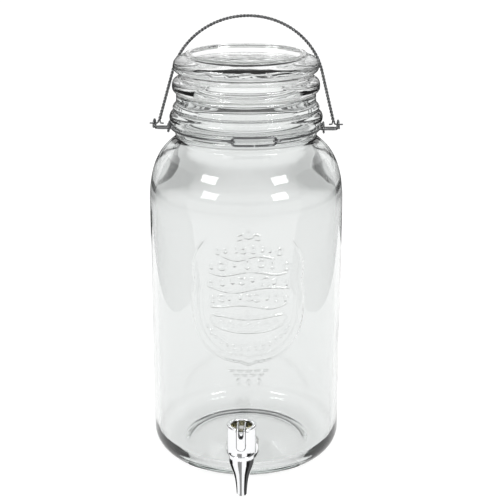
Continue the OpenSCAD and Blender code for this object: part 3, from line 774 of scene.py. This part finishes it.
# ------------------------------------------------------------------ floor
FLOOR_RINGS = (0.6, 1.4, 4.0, 14.0)    # radii in metres
FLOOR_Z, SEG = -0.0002, 96
fv = [(0, 0, FLOOR_Z)]
for rr in FLOOR_RINGS:
    fv += [(rr * math.cos(2 * PI * k / SEG), rr * math.sin(2 * PI * k / SEG), FLOOR_Z) for k in range(SEG)]
ff = [[0, 1 + k, 1 + (k + 1) % SEG] for k in range(SEG)]
for j in range(len(FLOOR_RINGS) - 1):
    a, b = 1 + j * SEG, 1 + (j + 1) * SEG
    ff += [[a + k, b + k, b + (k + 1) % SEG, a + (k + 1) % SEG] for k in range(SEG)]
floor_me = bpy.data.meshes.new("floor")
floor_me.from_pydata(fv, [], ff)
floor = link_object("floor", floor_me)
fm, nt, b = new_material("floor_white")
b.inputs["Roughness"].default_value = 0.9
b.inputs["Specular IOR Level"].default_value = 0.0
bump(nt, b, 8.0, 0.02, 0.0005)
b.inputs["Base Color"].default_value = (0.22, 0.22, 0.22, 1)
b.inputs["Emission Color"].default_value = (1, 1, 1, 1)
# white to the camera; seen through the glass or in a reflection, it fades softly with distance
WHITE = 0.86
near_far = nt.nodes.new("ShaderNodeMapRange")
near_far.interpolation_type = "SMOOTHSTEP"
for key, val in (("From Min", 0.85), ("From Max", 2.6), ("To Min", WHITE), ("To Max", 0.42)):
    near_far.inputs[key].default_value = val
place = nt.nodes.new("ShaderNodeTexCoord")
reach = nt.nodes.new("ShaderNodeVectorMath")
ray = nt.nodes.new("ShaderNodeLightPath")
keep = nt.nodes.new("ShaderNodeMath")
most = nt.nodes.new("ShaderNodeMath")
reach.operation, keep.operation, most.operation = "LENGTH", "MULTIPLY", "MAXIMUM"
keep.inputs[1].default_value = WHITE
nt.links.new(place.outputs["Object"], reach.inputs[0])
nt.links.new(reach.outputs["Value"], near_far.inputs["Value"])
nt.links.new(ray.outputs["Is Camera Ray"], keep.inputs[0])
nt.links.new(keep.outputs["Value"], most.inputs[0])
nt.links.new(near_far.outputs["Result"], most.inputs[1])
nt.links.new(most.outputs["Value"], b.inputs["Emission Strength"])
floor_me.materials.append(fm)

# ------------------------------------------------------------------ world
scene = bpy.context.scene
scene.view_settings.view_transform = "Standard"
scene.view_settings.look = "None"
world = bpy.data.worlds.new("studio")
scene.world = world
world.use_nodes = True
wn = world.node_tree
# brightness by height: a dark line at the horizon, white above it
tc = wn.nodes.new("ShaderNodeTexCoord")
sep = wn.nodes.new("ShaderNodeSeparateXYZ")
height = wn.nodes.new("ShaderNodeMapRange")
height.inputs["From Min"].default_value = -1
height.inputs["From Max"].default_value = 1
hz = wn.nodes.new("ShaderNodeValToRGB")
hz.color_ramp.interpolation = "EASE"
e = hz.color_ramp.elements
e[0].position, e[0].color = 0.0, (0.9, 0.9, 0.9, 1)
e[1].position, e[1].color = 1.0, (0.8, 0.8, 0.8, 1)
for pos, val in ((0.487, 0.95), (0.502, 0.03), (0.530, 0.03), (0.552, 0.80), (0.62, 1.0), (0.72, 0.9)):
    e.new(pos).color = (val, val, val, 1)
lit = wn.nodes["Background"]
lit.inputs["Strength"].default_value = 1.15
seen = wn.nodes.new("ShaderNodeBackground")
seen.inputs["Color"].default_value = (1, 1, 1, 1)
seen.inputs["Strength"].default_value = 1.0
lp = wn.nodes.new("ShaderNodeLightPath")
mix = wn.nodes.new("ShaderNodeMixShader")
wn.links.new(tc.outputs["Generated"], sep.inputs["Vector"])
wn.links.new(sep.outputs["Z"], height.inputs["Value"])
wn.links.new(height.outputs["Result"], hz.inputs["Fac"])
wn.links.new(hz.outputs["Color"], lit.inputs["Color"])
wn.links.new(lp.outputs["Is Camera Ray"], mix.inputs["Fac"])
wn.links.new(lit.outputs["Background"], mix.inputs[1])
wn.links.new(seen.outputs["Background"], mix.inputs[2])
wn.links.new(mix.outputs["Shader"], wn.nodes["World Output"].inputs["Surface"])


# ------------------------------------------------------------------ lights and cards
def softbox(name, loc, target, size, power):
    d = bpy.data.lights.new(name, "AREA")
    d.shape = "RECTANGLE"
    d.size, d.size_y = size
    d.energy = power
    o = link_object(name, d)
    o.location = loc
    o.rotation_euler = (Vector(target) - Vector(loc)).to_track_quat("-Z", "Y").to_euler()


softbox("key_left", (-0.98, -0.92, 0.98), (0, 0, 0.2), (0.52, 0.36), 7)
softbox("key_right", (0.98, -0.92, 0.98), (0, 0, 0.2), (0.52, 0.36), 7)
softbox("top", (0, 0.4, 2.4), (0, 0, 0.1), (1.6, 1.2), 8)


def card(name, corners, value):
    """A flat card that is seen only in reflections."""
    me = bpy.data.meshes.new(name)
    me.from_pydata(corners, [], [list(range(len(corners)))])
    o = link_object(name, me)
    m, nt, b = new_material(name)
    b.inputs["Base Color"].default_value = (0, 0, 0, 1)
    b.inputs["Specular IOR Level"].default_value = 0.0
    b.inputs["Emission Color"].default_value = (value, value, value, 1)
    b.inputs["Emission Strength"].default_value = 1.0
    me.materials.append(m)
    o.visible_camera = o.visible_diffuse = o.visible_shadow = o.visible_transmission = False


CARD_Z = 0.0006                        # cards that lie on the floor, in metres
FAN_IN, FAN_OUT = 3, 66                # mm from the nozzle's axis


def fan_row(r, degrees):
    return [(r * math.sin(rad(a)) * MM, (TAP_Y - r * math.cos(rad(a))) * MM, CARD_Z) for a in degrees]


# fans of card on the floor round the nozzle: the stripes in the chrome
for i, (a0, a1, val) in enumerate(((-138, -86, 0.02), (-32, 4, 0.30), (44, 76, 0.015), (76, 138, 0.10))):
    mid = (a0 + a1) / 2
    card("fan_%d" % i, fan_row(FAN_IN, (a0, mid, a1)) + fan_row(FAN_OUT, (a1, mid, a0)), val)
SIDES = ((-1, "left"), (1, "right"))
# grey side panels, which draw the edges of the glass
for k, side in SIDES:
    card("side_" + side, [(k * 0.55, -0.25, 0.0), (k * 0.75, 0.75, 0.0), (k * 0.75, 0.75, 0.55),
                          (k * 0.55, -0.25, 0.55)], 0.22)
# dark floor far out behind and to the sides, which draws the edges of wire and glass
FAR = 0.06
card("far_back", [(-4, 0.55, CARD_Z), (4, 0.55, CARD_Z), (4, 5, CARD_Z), (-4, 5, CARD_Z)], FAR)
for k, side in SIDES:
    card("far_" + side, [(k * 0.42, -0.35, CARD_Z), (k * 4, -0.9, CARD_Z), (k * 4, 0.55, CARD_Z),
                         (k * 0.42, 0.55, CARD_Z)], FAR)
